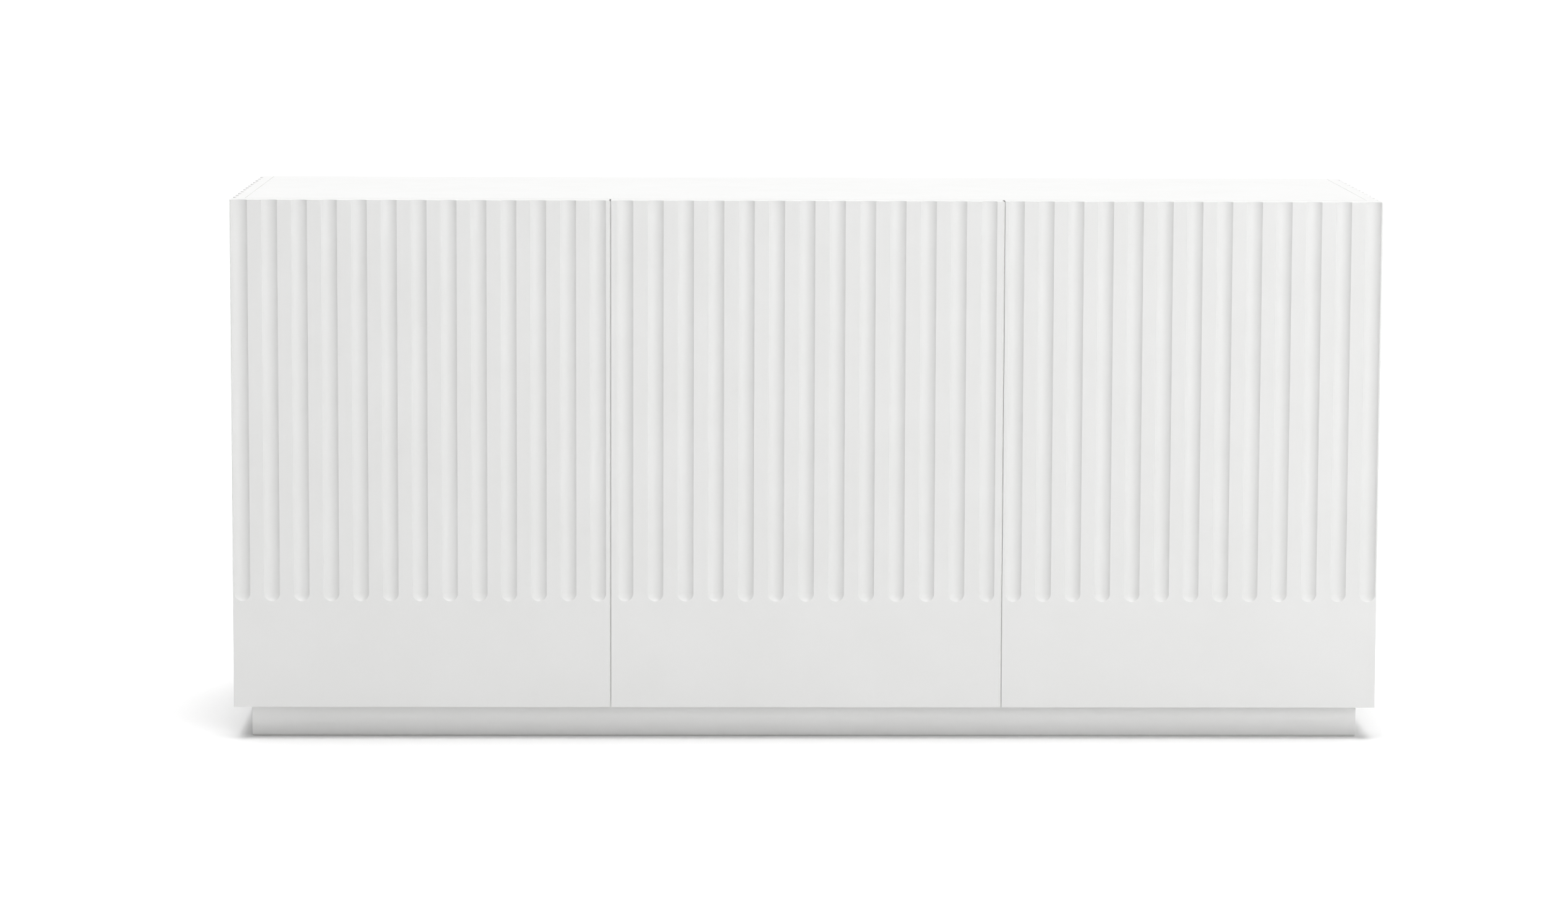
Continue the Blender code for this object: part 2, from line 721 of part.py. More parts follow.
def clear_scene():
    for item in list(bpy.data.objects):
        bpy.data.objects.remove(item)


def main():
    clear_scene()
    materials = make_materials()
    make_carcass(materials)
    make_plinth(materials)
    for label in DOORS:
        door_pivot = make_door_set(label, materials)
        make_latch(label, door_pivot, materials)


main()
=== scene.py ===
"""Visual model of a fluted TV stand with three doors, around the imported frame.

Units are metres. X runs along the cabinet, Y from its front to its back and Z up. Each piece
takes its place from the boxes of the frame's nodes, and rides on the frame's bodies.
"""

import json
import math

import bmesh
import bpy
from mathutils import Matrix, Vector


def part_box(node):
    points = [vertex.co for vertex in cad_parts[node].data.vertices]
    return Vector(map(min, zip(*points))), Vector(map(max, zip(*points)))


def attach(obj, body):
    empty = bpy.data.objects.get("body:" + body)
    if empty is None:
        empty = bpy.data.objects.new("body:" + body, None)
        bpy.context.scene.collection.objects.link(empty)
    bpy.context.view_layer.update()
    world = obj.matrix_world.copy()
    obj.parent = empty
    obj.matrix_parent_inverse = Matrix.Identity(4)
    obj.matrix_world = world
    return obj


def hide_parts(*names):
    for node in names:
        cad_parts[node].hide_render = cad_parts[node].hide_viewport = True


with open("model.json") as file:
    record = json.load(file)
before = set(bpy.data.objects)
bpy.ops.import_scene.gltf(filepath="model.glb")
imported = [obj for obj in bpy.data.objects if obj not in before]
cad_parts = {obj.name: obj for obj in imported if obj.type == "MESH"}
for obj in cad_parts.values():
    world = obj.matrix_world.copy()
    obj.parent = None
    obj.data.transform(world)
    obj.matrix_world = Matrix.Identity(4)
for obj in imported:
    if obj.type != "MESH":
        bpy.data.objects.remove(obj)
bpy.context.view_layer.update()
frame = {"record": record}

# ---------------------------------------------------------------------------------------------
# Dimensions that the frame's boxes don't give
# ---------------------------------------------------------------------------------------------

# Flutes: an arc in section, eased where it meets the flat, ending in a round nose
FLUTE_WIDTH = 0.0223
FLUTE_DEPTH = 0.0057
FLUTE_END_HEIGHT = 0.150
FLUTE_EASE = 0.0005
FLUTE_RADIUS = (FLUTE_WIDTH**2 / 4 + FLUTE_DEPTH**2) / (2 * FLUTE_DEPTH)
ARC_STEPS = 12
EASE_STEPS = 3
NOSE_STEPS = 28
DOOR_FLUTES = 13
DOOR_FLUTE_OUTER_MARGIN = 0.0131
DOOR_FLUTE_INNER_MARGIN = 0.0158
DOOR_GAP = 0.0022
SIDE_FLUTES = 12
SIDE_FLUTE_FRONT_MARGIN = 0.0131
SIDE_FLUTE_BACK_MARGIN = 0.026

# Eased edges
DOOR_EASE = 0.0008
SIDE_EASE = 0.0007
TOP_EASE = 0.0002
TOP_END_TRIM = 0.0003
BOARD_EASE = 0.0005
CORNER_STEPS = 4

# Bores
CUP_BORE_RADIUS = 0.0178
CUP_BORE_DEPTH = 0.0127
PIN_BORE_RADIUS = 0.0027
PIN_BORE_DEPTH = 0.0105
CABLE_HOLE_RADIUS = 0.030

# Concealed hinges, from the door's back face and, along X, from an end board's thickness inside
# the door's hinge edge
SIDE_THICKNESS = 0.019
CUP_RADIUS = 0.0175
CUP_WALL = 0.0008
CUP_DEPTH = 0.0118
CUP_FLOOR = 0.0006
FLANGE_LIFT = 0.0003
FLANGE_THICKNESS = 0.0008
FLANGE_HALF_WIDTH = 0.010
FLANGE_HALF_HEIGHT = 0.028
FLANGE_CORNER = 0.0065
CUP_CENTRE = 0.0023
CUP_PIVOT = (-0.0106, -0.0092)
LINK_ELBOW = (-0.0005, -0.0106)
LINK_SHOULDER = (0.0036, -0.0052)
ARM_PIVOT = (0.0046, 0.0280)
LINK_THICKNESS = 0.0016
LINK_WIDTH = 0.0086
LINK_EYE_RADIUS = 0.0022
LINK_BEND = 0.0005
PIN_RADIUS = 0.0010
PIN_CLEARANCE = 0.00015
PIN_SINK = 0.0003
CUP_ROUND = 0.0016
CUP_RIM_DROP = 0.0003
HINGE_EASE = 0.0002
ARM_START = 0.012
ARM_LENGTH = 0.056
ARM_HALF_WIDTH = 0.0061
ARM_INNER_HALF_WIDTH = 0.0046
ARM_FLOOR = 0.0016
ARM_CREST = 0.0074
ARM_CHEEK_LENGTH = 0.018
ARM_REAR_START = 0.0325
ARM_REAR_END = 0.0653
ARM_REAR_CREST = 0.0054
ARM_CORNER = 0.0020
ARM_CHEEK_ROUNDING = 0.6
ARM_REAR_ROUNDING = 0.5
PLATE_CENTRE = 0.039
PLATE_LENGTH = 0.018
PLATE_HEIGHT = 0.048
PLATE_THICKNESS = 0.0012
PLATE_CORNER = 0.0035

# Screws: the head's radius and height, and where they stand on the hinges
CUP_SCREW = (0.0031, 0.0006)
CUP_SCREW_REACH = 0.0238
PLATE_SCREW = (0.0031, 0.0009)
PLATE_SCREW_REACH = 0.017
ARM_SCREW = (0.0027, 0.0010)
ARM_SCREW_PLACES = (0.042, 0.059)
LATCH_SCREW = (0.0027, 0.0009)
LATCH_SCREW_PLACES = (0.046, 0.062)
BACK_SCREW = (0.0029, 0.0014)
BACK_SCREW_INSET = 0.0044
BACK_SCREW_END_DISTANCE = 0.030
BACK_SCREWS = 5

# A screw's head, in shares of its radius and height, and the turn from one to the next
HEAD_FOOT = 0.96
HEAD_FOOT_HEIGHT = 0.08
HEAD_SHOULDER = 0.30
HEAD_CROWN = 0.42
HEAD_FLAT = 0.40
DOME_STEPS = 6
RECESS_REACH = 0.52
RECESS_HALF_WIDTH = 0.11
RECESS_BOTTOM = 0.36
RECESS_TOP = 1.2
SCREW_TURN = 0.4
SCREW_TURN_STEP = 1.7

# Soft strips in the gap beside a door and under the plinth
SEAL_WIDTH = 0.0018
SEAL_DEPTH = 0.0030
SEAL_SETBACK = 0.0006
SEAL_ROUND = 0.0003
SEAL_SINK = 0.0003
SEAL_END_GAP = 0.0012
PLINTH_SEAL_INSET = 0.0008
PLINTH_SEAL_FLOOR_GAP = 0.0004

# Push latches and shelf pins
PLUNGER_BORE_RADIUS = 0.0033
PLUNGER_TIP_RADIUS = 0.0023
PLUNGER_TIP_LENGTH = 0.0016
PLUNGER_CLEARANCE = 0.0028
LATCH_EASE = 0.0009
LATCH_COLLAR_RADIUS = 0.0050
LATCH_COLLAR_HEIGHT = 0.0005
STRIKE_EASE = 0.0004
STRIKE_DISH_RADIUS = 0.0052
STRIKE_DISH_DEPTH = 0.0004
COLLAR_RADIUS = 0.0035
COLLAR_THICKNESS = 0.0008
CONTACT = 0.00002
# How far a face stays behind another that it would otherwise share
HIDDEN_STEP = 0.0001
WELD = 5e-7

ROUND_SIDES = 64
SMALL_SIDES = 40
PIN_SIDES = 30
MARGIN = 0.005


# ---------------------------------------------------------------------------------------------
# Materials
# ---------------------------------------------------------------------------------------------

# The middle of a noise's values
NOISE_LOW = 0.3
NOISE_HIGH = 0.7


def add_noise(tree, scale, detail=2.0, stretch=(1.0, 1.0, 1.0)):
    """Noise in the piece's own coordinates; scale is in cells per metre."""
    coordinates = tree.nodes.new("ShaderNodeTexCoord")
    mapping = tree.nodes.new("ShaderNodeMapping")
    mapping.inputs["Scale"].default_value = stretch
    noise = tree.nodes.new("ShaderNodeTexNoise")
    noise.inputs["Scale"].default_value = scale
    noise.inputs["Detail"].default_value = detail
    tree.links.new(coordinates.outputs["Object"], mapping.inputs["Vector"])
    tree.links.new(mapping.outputs["Vector"], noise.inputs["Vector"])
    return noise.outputs["Fac"]


def add_range(tree, value, low, high):
    """Map the middle of a noise's values to a range."""
    node = tree.nodes.new("ShaderNodeMapRange")
    node.inputs["From Min"].default_value = NOISE_LOW
    node.inputs["From Max"].default_value = NOISE_HIGH
    node.inputs["To Min"].default_value = low
    node.inputs["To Max"].default_value = high
    tree.links.new(value, node.inputs["Value"])
    return node.outputs["Result"]


def add_shades(tree, value, first, second):
    """Blend two shades by a noise."""
    ramp = tree.nodes.new("ShaderNodeValToRGB")
    ramp.color_ramp.elements[0].position = NOISE_LOW
    ramp.color_ramp.elements[0].color = (*first, 1.0)
    ramp.color_ramp.elements[1].position = NOISE_HIGH
    ramp.color_ramp.elements[1].color = (*second, 1.0)
    tree.links.new(value, ramp.inputs["Fac"])
    return ramp.outputs["Color"]


def add_bump(tree, value, distance, below=None):
    node = tree.nodes.new("ShaderNodeBump")
    node.inputs["Strength"].default_value = 1.0
    node.inputs["Distance"].default_value = distance
    tree.links.new(value, node.inputs["Height"])
    if below:
        tree.links.new(below, node.inputs["Normal"])
    return node.outputs["Normal"]


def make_material(name, shades, mottle, roughness, bumps, metallic=0.0, level=0.5):
    """A Principled material.

    shades are two colours, blended by noise of the scale and stretch in mottle; roughness is a
    range with the scale of its noise; bumps are (scale, stretch, height) of each layer of relief.
    """
    material = bpy.data.materials.new(name)
    material.use_nodes = True
    tree = material.node_tree
    shader = tree.nodes["Principled BSDF"]
    shader.inputs["Metallic"].default_value = metallic
    shader.inputs["Specular IOR Level"].default_value = level
    scale, stretch = mottle
    colour = add_shades(tree, add_noise(tree, scale, 3.0, stretch), *shades)
    tree.links.new(colour, shader.inputs["Base Color"])
    low, high, rough_scale = roughness
    rough = add_range(tree, add_noise(tree, rough_scale, 3.0), low, high)
    tree.links.new(rough, shader.inputs["Roughness"])
    normal = None
    for bump_scale, bump_stretch, height in bumps:
        normal = add_bump(tree, add_noise(tree, bump_scale, 2.0, bump_stretch), height, normal)
    tree.links.new(normal, shader.inputs["Normal"])
    return material


EVEN = (1.0, 1.0, 1.0)
ALONG_X = (0.06, 1.0, 1.0)
MATERIALS = {
    # Sprayed and rubbed down: a very shallow orange peel over long, faint waves
    "lacquer": make_material(
        "satin_white_lacquer", ((0.780, 0.780, 0.772), (0.796, 0.796, 0.790)), (9.0, EVEN),
        (0.42, 0.50, 26.0), [(12.0, EVEN, 0.00003), (420.0, EVEN, 0.000006)],
    ),
    # Pressed paper foil with a fine pearl relief
    "melamine": make_material(
        "white_melamine", ((0.755, 0.755, 0.748), (0.785, 0.785, 0.780)), (260.0, EVEN),
        (0.46, 0.58, 90.0), [(900.0, EVEN, 0.000012)],
    ),
    # Painted face with the fibres showing through
    "hardboard": make_material(
        "white_hardboard", ((0.700, 0.698, 0.688), (0.765, 0.764, 0.756)), (180.0, ALONG_X),
        (0.60, 0.75, 60.0), [(520.0, ALONG_X, 0.00003), (1400.0, EVEN, 0.00001)],
    ),
    # Pressed strip, nickel plated, with the rolling direction along the piece
    "steel": make_material(
        "nickel_plated_steel", ((0.60, 0.585, 0.56), (0.68, 0.665, 0.64)), (500.0, ALONG_X),
        (0.22, 0.36, 400.0), [(2500.0, ALONG_X, 0.000003)], metallic=1.0,
    ),
    "zinc": make_material(
        "zinc_die_casting", ((0.50, 0.50, 0.49), (0.58, 0.58, 0.57)), (350.0, EVEN),
        (0.32, 0.46, 500.0), [(1600.0, EVEN, 0.000008)], metallic=1.0,
    ),
    "plastic": make_material(
        "white_nylon", ((0.70, 0.70, 0.685), (0.745, 0.745, 0.73)), (150.0, EVEN),
        (0.42, 0.56, 300.0), [(2200.0, EVEN, 0.00001)],
    ),
    "glide": make_material(
        "grey_nylon_felt", ((0.20, 0.20, 0.20), (0.32, 0.32, 0.315)), (1500.0, EVEN),
        (0.80, 0.95, 900.0), [(2600.0, EVEN, 0.00006)],
    ),
}


# ---------------------------------------------------------------------------------------------
# Making pieces
# ---------------------------------------------------------------------------------------------

def apply_modifiers(item):
    """Replace an object's mesh by its evaluated one."""
    evaluated = item.evaluated_get(bpy.context.evaluated_depsgraph_get())
    mesh = bpy.data.meshes.new_from_object(evaluated)
    item.modifiers.clear()
    old = item.data
    item.data = mesh
    bpy.data.meshes.remove(old)


def add_object(name, bm):
    mesh = bpy.data.meshes.new(name)
    bm.to_mesh(mesh)
    bm.free()
    item = bpy.data.objects.new(name, mesh)
    bpy.context.scene.collection.objects.link(item)
    return item


def combine(item, bm, operation):
    """Join a shape to an object, or cut it out."""
    other = add_object(f"{item.name}_other", bm)
    modifier = item.modifiers.new("shape", "BOOLEAN")
    modifier.operation = operation
    modifier.solver = "EXACT"
    modifier.object = other
    apply_modifiers(item)
    bpy.data.objects.remove(other)


def bore(item, shapes):
    """Cut cylinders, given as (start, end, radius), out of an object."""
    bm = bmesh.new()
    for start, end, radius in shapes:
        add_cylinder(bm, start, end, radius)
    combine(item, bm, "DIFFERENCE")


def finish_piece(item, finish, body, nodes=(), sharp=50.0):
    """Give a piece its finish, its shading and the body that it rides on."""
    mesh = item.data
    bm = bmesh.new()
    bm.from_mesh(mesh)
    bmesh.ops.remove_doubles(bm, verts=bm.verts, dist=WELD)
    bmesh.ops.dissolve_degenerate(bm, edges=bm.edges, dist=WELD)
    bm.to_mesh(mesh)
    bm.free()
    mesh.materials.clear()
    mesh.materials.append(MATERIALS[finish])
    mesh.shade_smooth()
    mesh.set_sharp_from_angle(angle=math.radians(sharp))
    normals = item.modifiers.new("normals", "WEIGHTED_NORMAL")
    normals.keep_sharp = True
    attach(item, body)
    if nodes:
        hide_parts(*nodes)
    return item


def add_box(bm, low, high, ease=0.0, steps=3):
    """A box between two opposite corners, with eased edges."""
    low, high = Vector(low), Vector(high)
    size = Vector(map(abs, high - low))
    matrix = Matrix.Translation((low + high) / 2) @ Matrix.Diagonal((*size, 1.0))
    made = bmesh.ops.create_cube(bm, size=1.0, matrix=matrix)["verts"]
    if ease:
        edges = list({edge for vert in made for edge in vert.link_edges})
        bmesh.ops.bevel(
            bm, geom=edges, offset=ease, segments=steps, profile=0.5, affect="EDGES",
            clamp_overlap=True,
        )


def add_cylinder(bm, start, end, radius, sides=ROUND_SIDES):
    start, end = Vector(start), Vector(end)
    turn = (end - start).to_track_quat("Z", "Y").to_matrix().to_4x4()
    bmesh.ops.create_cone(
        bm, cap_ends=True, segments=sides, radius1=radius, radius2=radius,
        depth=(end - start).length, matrix=Matrix.Translation((start + end) / 2) @ turn,
    )


def add_turned(bm, profile, place, axis, sides=ROUND_SIDES):
    """A turned shape. The profile is (radius, height) along the axis, from a place."""
    turn = Vector(axis).to_track_quat("Z", "Y").to_matrix().to_4x4()
    matrix = Matrix.Translation(place) @ turn
    rings = []
    for radius, height in profile:
        if radius < 1e-7:
            rings.append([bm.verts.new(matrix @ Vector((0, 0, height)))])
            continue
        ring = []
        for step in range(sides):
            angle = 2 * math.pi * step / sides
            point = Vector((radius * math.cos(angle), radius * math.sin(angle), height))
            ring.append(bm.verts.new(matrix @ point))
        rings.append(ring)
    for first, second in zip(rings, rings[1:]):
        for step in range(sides):
            after = (step + 1) % sides
            corners = [first[step % len(first)], first[after % len(first)],
                       second[after % len(second)], second[step % len(second)]]
            bm.faces.new(list(dict.fromkeys(corners)))


def add_prism(bm, outline, low, high, axes, ease=0.0):
    """An outline of (a, b) points, extruded from low to high, with eased rims.

    axes names the three axes of a, b and the extrusion, such as "yzx".
    """
    order = ["xyz".index(axis) for axis in axes]
    rings = []
    for height in (low, high):
        ring = []
        for a, b in outline:
            place = [0.0, 0.0, 0.0]
            for axis, value in zip(order, (a, b, height)):
                place[axis] = value
            ring.append(bm.verts.new(place))
        rings.append(ring)
    caps = [bm.faces.new(rings[0]), bm.faces.new(rings[1])]
    count = len(outline)
    for index in range(count):
        after = (index + 1) % count
        bm.faces.new([rings[0][index], rings[0][after], rings[1][after], rings[1][index]])
    if ease:
        rims = list({edge for cap in caps for edge in cap.edges})
        bmesh.ops.bevel(
            bm, geom=rims, offset=ease, segments=2, profile=0.5, affect="EDGES",
            clamp_overlap=True,
        )


def corner_arc(centre, start, radius):
    """A quarter circle of an outline, anticlockwise from a start angle in quarter turns."""
    points = []
    for step in range(CORNER_STEPS + 1):
        angle = math.pi / 2 * (start + step / CORNER_STEPS)
        points.append((centre[0] + radius * math.cos(angle), centre[1] + radius * math.sin(angle)))
    return points


def rounded_rectangle(low, high, radius):
    """An outline between two opposite corners, anticlockwise."""
    (left, bottom), (right, top) = low, high
    return [
        *corner_arc((right - radius, top - radius), 0, radius),
        *corner_arc((left + radius, top - radius), 1, radius),
        *corner_arc((left + radius, bottom + radius), 2, radius),
        *corner_arc((right - radius, bottom + radius), 3, radius),
    ]


def round_profile(radius, low, high, low_ease=0.0, high_ease=0.0):
    """The profile of a turned bar with rounded ends."""
    points = [(0.0, low)]
    for end, ease, first in ((low, low_ease, 3), (high, high_ease, 0)):
        centre = (radius - ease, end + ease if end == low else end - ease)
        points += corner_arc(centre, first, ease) if ease else [(radius, end)]
    return points + [(0.0, high)]


def tidy(bm):
    """Merge doubled points and turn the faces outwards."""
    bmesh.ops.remove_doubles(bm, verts=bm.verts, dist=1e-7)
    bmesh.ops.dissolve_degenerate(bm, edges=bm.edges, dist=1e-7)
    bmesh.ops.recalc_face_normals(bm, faces=bm.faces)


def eased_board(node, finish, ease=BOARD_EASE, bores=(), body="carcass", end_trim=0.0):
    """A board in a node's box, with eased edges. end_trim shortens both of its ends along X."""
    low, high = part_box(node)
    low.x += end_trim
    high.x -= end_trim
    bm = bmesh.new()
    add_box(bm, low, high, ease)
    item = add_object(f"{node}_fine", bm)
    if bores:
        bore(item, bores)
    return finish_piece(item, finish, body, [node])


# ---------------------------------------------------------------------------------------------
# Fluted boards
# ---------------------------------------------------------------------------------------------

def flute_half(inset):
    """Half a flute's section, from its middle out to the flat, as (offset, depth).

    inset is how far the whole outline is drawn into the board, as its top edge is eased.
    """
    rim = max(inset, FLUTE_EASE)
    reach = FLUTE_RADIUS + rim
    centre_depth = FLUTE_RADIUS - FLUTE_DEPTH + rim
    rim_offset = math.sqrt(reach**2 - centre_depth**2)
    rim_angle = math.atan2(rim_offset, centre_depth)
    points = []
    for step in range(ARC_STEPS + 1):
        angle = rim_angle * step / ARC_STEPS
        points.append((
            (FLUTE_RADIUS + inset) * math.sin(angle),
            (FLUTE_RADIUS + inset) * math.cos(angle) - FLUTE_RADIUS + FLUTE_DEPTH,
        ))
    for step in range(1, EASE_STEPS + 1):
        angle = rim_angle * (1 - step / EASE_STEPS)
        points.append((
            rim_offset - (rim - inset) * math.sin(angle),
            rim - (rim - inset) * math.cos(angle),
        ))
    return points


def fluted_board(name, length, thickness, low, high, end_height, centres, ease, place):
    """A board with eased edges and flutes down its face.

    In the board's plan, u runs along its face from 0 to length and w from the face, at 0, into
    the board. place turns (u, w, z) into a world position.
    """
    bm = bmesh.new()

    def add_ring(points, z):
        return [bm.verts.new(place(u, w, z)) for u, w in points]

    def corners(inset):
        radius = ease - inset
        return [
            *corner_arc((length - ease, ease), 3, radius),
            *corner_arc((length - ease, thickness - ease), 0, radius),
            *corner_arc((ease, thickness - ease), 1, radius),
            *corner_arc((ease, ease), 2, radius),
        ]

    def front(inset):
        half = flute_half(inset)
        points = []
        for centre in centres:
            points += [(centre - offset, depth) for offset, depth in reversed(half)]
            points += [(centre + offset, depth) for offset, depth in half[1:]]
        return points

    def join_rings(first, second, count):
        total = len(first)
        for index in range(count):
            after = (index + 1) % total
            bm.faces.new([first[index], first[after], second[after], second[index]])

    nose_z = end_height + FLUTE_WIDTH / 2
    turns = [math.pi / 2 * step / CORNER_STEPS for step in range(CORNER_STEPS + 1)]
    insets = [ease * (1 - math.cos(turn)) for turn in turns]
    rises = [ease * math.sin(turn) for turn in turns]

    middle = add_ring(corners(0) + front(0), nose_z)
    rings = [middle]
    for inset, rise in zip(insets, rises):
        rings.append(add_ring(corners(inset) + front(inset), high - ease + rise))
    for first, second in zip(rings, rings[1:]):
        join_rings(first, second, len(first))
    bm.faces.new(rings[-1])

    corner_count = 4 * (CORNER_STEPS + 1)
    below = [middle[:corner_count]]
    for inset, rise in zip(insets, rises):
        below.append(add_ring(corners(inset), low + ease - rise))
    join_rings(below[0], below[1], corner_count - 1)
    for first, second in zip(below[1:], below[2:]):
        join_rings(first, second, corner_count)
    bm.faces.new(below[-1])

    # The plain band below the flutes, bounded by the flutes' round noses
    band = [below[1][0], below[1][-1], below[0][-1]]
    half = flute_half(0)
    across = 2 * len(half) - 1
    for number, centre in enumerate(centres):
        start = corner_count + number * across
        section = middle[start:start + across]
        ring = section
        for step in range(1, NOSE_STEPS + 1):
            band.append(ring[0])
            turn = math.pi * step / NOSE_STEPS
            if step == NOSE_STEPS:
                left = section[len(half) - 1:][::-1]
            else:
                left = [
                    bm.verts.new(place(
                        centre - offset * math.cos(turn), depth, nose_z - offset * math.sin(turn),
                    ))
                    for offset, depth in reversed(half[1:])
                ]
                left.append(section[len(half) - 1])
            for index in range(len(half) - 1):
                quad = [ring[index], ring[index + 1], left[index + 1], left[index]]
                bm.faces.new(list(dict.fromkeys(quad)))
            ring = left
        band.append(ring[0])
    band.append(middle[0])
    bm.faces.new(band)
    tidy(bm)
    return add_object(name, bm)


def make_door(label):
    node = f"door_{label}"
    low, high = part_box(node)
    width = high.x - low.x
    if label == "middle":
        pitch = (width + DOOR_GAP) / DOOR_FLUTES
        first = (pitch - DOOR_GAP) / 2
    else:
        first = DOOR_FLUTE_OUTER_MARGIN
        pitch = (width - first - DOOR_FLUTE_INNER_MARGIN) / (DOOR_FLUTES - 1)
    centres = [first + pitch * index for index in range(DOOR_FLUTES)]
    if label == "right":
        centres = [width - centre for centre in reversed(centres)]
    item = fluted_board(
        f"{node}_fine", width, high.y - low.y, low.z, high.z, low.z + FLUTE_END_HEIGHT, centres,
        DOOR_EASE, lambda u, w, z: Vector((low.x + u, low.y + w, z)),
    )
    shapes = []
    for level in ("lower", "upper"):
        cup_low, cup_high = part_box(f"hinge_cup_{label}_{level}")
        x, z = (cup_low.x + cup_high.x) / 2, (cup_low.z + cup_high.z) / 2
        start = (x, high.y - CUP_BORE_DEPTH, z)
        shapes.append((start, (x, high.y + CUP_BORE_DEPTH, z), CUP_BORE_RADIUS))
    bore(item, shapes)
    finish_piece(item, "lacquer", f"{label}_door", [node], sharp=70.0)


def make_door_seal(label):
    """A soft white lip along a door's free edge, which closes most of the gap beside it.

    The middle door's hinge edge presses into the left door's lip early in its swing.
    """
    low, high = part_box(f"door_{label}")
    outline = rounded_rectangle(
        (high.x - SEAL_SINK, low.y + SEAL_SETBACK),
        (high.x + SEAL_WIDTH, low.y + SEAL_SETBACK + SEAL_DEPTH), SEAL_ROUND,
    )
    bm = bmesh.new()
    add_prism(bm, outline, low.z + SEAL_END_GAP, high.z - SEAL_END_GAP, "xyz", SEAL_ROUND / 2)
    tidy(bm)
    seal = add_object(f"door_seal_{label}", bm)
    finish_piece(seal, "plastic", f"{label}_door", sharp=40.0)


def make_plinth_seals():
    """Soft white strips under the plinth, between it and the floor."""
    for side in ("front", "end_left", "end_right"):
        low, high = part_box(f"plinth_{side}")
        bm = bmesh.new()
        add_box(
            bm, (low.x + PLINTH_SEAL_INSET, low.y + PLINTH_SEAL_INSET, PLINTH_SEAL_FLOOR_GAP),
            (high.x - PLINTH_SEAL_INSET, high.y - PLINTH_SEAL_INSET, low.z + SEAL_SINK), SEAL_ROUND,
        )
        seal = add_object(f"plinth_seal_{side}", bm)
        finish_piece(seal, "plastic", "carcass", sharp=40.0)


def pin_bores(side_face, inward, labels, through=0.0):
    """The bores for shelf pins in a board's face. through is the depth of one that goes on."""
    shapes = []
    for label in labels:
        low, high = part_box(label)
        y, z = (low.y + high.y) / 2, (low.z + high.z) / 2
        start = (side_face - inward * PIN_BORE_DEPTH, y, z)
        depth = through or PIN_BORE_DEPTH
        shapes.append((start, (side_face + inward * depth, y, z), PIN_BORE_RADIUS))
    return shapes


def make_side_panel(label, side):
    node = f"side_panel_{label}"
    low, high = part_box(node)
    depth = high.y - low.y
    last = depth - SIDE_FLUTE_BACK_MARGIN
    pitch = (last - SIDE_FLUTE_FRONT_MARGIN) / (SIDE_FLUTES - 1)
    centres = [SIDE_FLUTE_FRONT_MARGIN + pitch * index for index in range(SIDE_FLUTES)]
    outer = high.x if side > 0 else low.x
    item = fluted_board(
        f"{node}_fine", depth, high.x - low.x, low.z, high.z, low.z + FLUTE_END_HEIGHT, centres,
        SIDE_EASE, lambda u, w, z: Vector((outer - side * w, low.y + u, z)),
    )
    inner = low.x if side > 0 else high.x
    pins = [f"shelf_pin_{label}_end_{row}" for row in ("front", "back")]
    bore(item, pin_bores(inner, side, pins))
    finish_piece(item, "lacquer", "carcass", [node], sharp=70.0)


# ---------------------------------------------------------------------------------------------
# Screws
# ---------------------------------------------------------------------------------------------

def make_screw_template():
    """A domed head of unit radius and height, with a cross recess."""
    bm = bmesh.new()
    dome = [(0.0, 0.0), (HEAD_FOOT, 0.0), (1.0, HEAD_FOOT_HEIGHT), (1.0, HEAD_SHOULDER)]
    for step in range(1, DOME_STEPS):
        turn = math.pi / 2 * step / DOME_STEPS
        dome.append((
            HEAD_CROWN + (1 - HEAD_CROWN) * math.cos(turn),
            HEAD_SHOULDER + (1 - HEAD_SHOULDER) * math.sin(turn),
        ))
    dome += [(HEAD_FLAT, 1.0), (0.0, 1.0)]
    add_turned(bm, dome, (0, 0, 0), (0, 0, 1), SMALL_SIDES)
    tidy(bm)
    item = add_object("screw_template", bm)
    arm, half = RECESS_REACH, RECESS_HALF_WIDTH
    outline = []
    for quarter in range(4):
        cos, sin = round(math.cos(quarter * math.pi / 2)), round(math.sin(quarter * math.pi / 2))
        for a, b in ((half, half), (arm, half), (arm, -half)):
            outline.append((a * cos + b * sin, b * cos - a * sin))
    cross = bmesh.new()
    add_prism(cross, outline, RECESS_BOTTOM, RECESS_TOP, "xyz")
    tidy(cross)
    combine(item, cross, "DIFFERENCE")
    mesh = item.data
    bpy.data.objects.remove(item)
    return mesh


def add_screws(name, places, axis, head, body):
    """Screw heads that stand on a face; each one is turned a little further than the last."""
    radius, height = head
    bm = bmesh.new()
    upright = Vector(axis).to_track_quat("Z", "Y").to_matrix().to_4x4()
    for number, place in enumerate(places):
        spin = Matrix.Rotation(SCREW_TURN * (1 + SCREW_TURN_STEP * number), 4, "Z")
        size = Matrix.Diagonal((radius, radius, height, 1.0))
        matrix = Matrix.Translation(place) @ upright @ spin @ size
        start = len(bm.verts)
        bm.from_mesh(SCREW)
        bm.verts.ensure_lookup_table()
        bmesh.ops.transform(bm, matrix=matrix, verts=bm.verts[start:])
    finish_piece(add_object(name, bm), "steel", body, sharp=35.0)


SCREW = make_screw_template()


# ---------------------------------------------------------------------------------------------
# Concealed hinges, in the plan of the left door: X from its edge, Y from its back face and Z from
# the hinge's middle
# ---------------------------------------------------------------------------------------------

def add_shape(item, build, operation="UNION"):
    """Join or cut a shape that build adds to an empty mesh."""
    bm = bmesh.new()
    build(bm)
    tidy(bm)
    combine(item, bm, operation)


def new_shape(name, build):
    bm = bmesh.new()
    build(bm)
    tidy(bm)
    return add_object(name, bm)


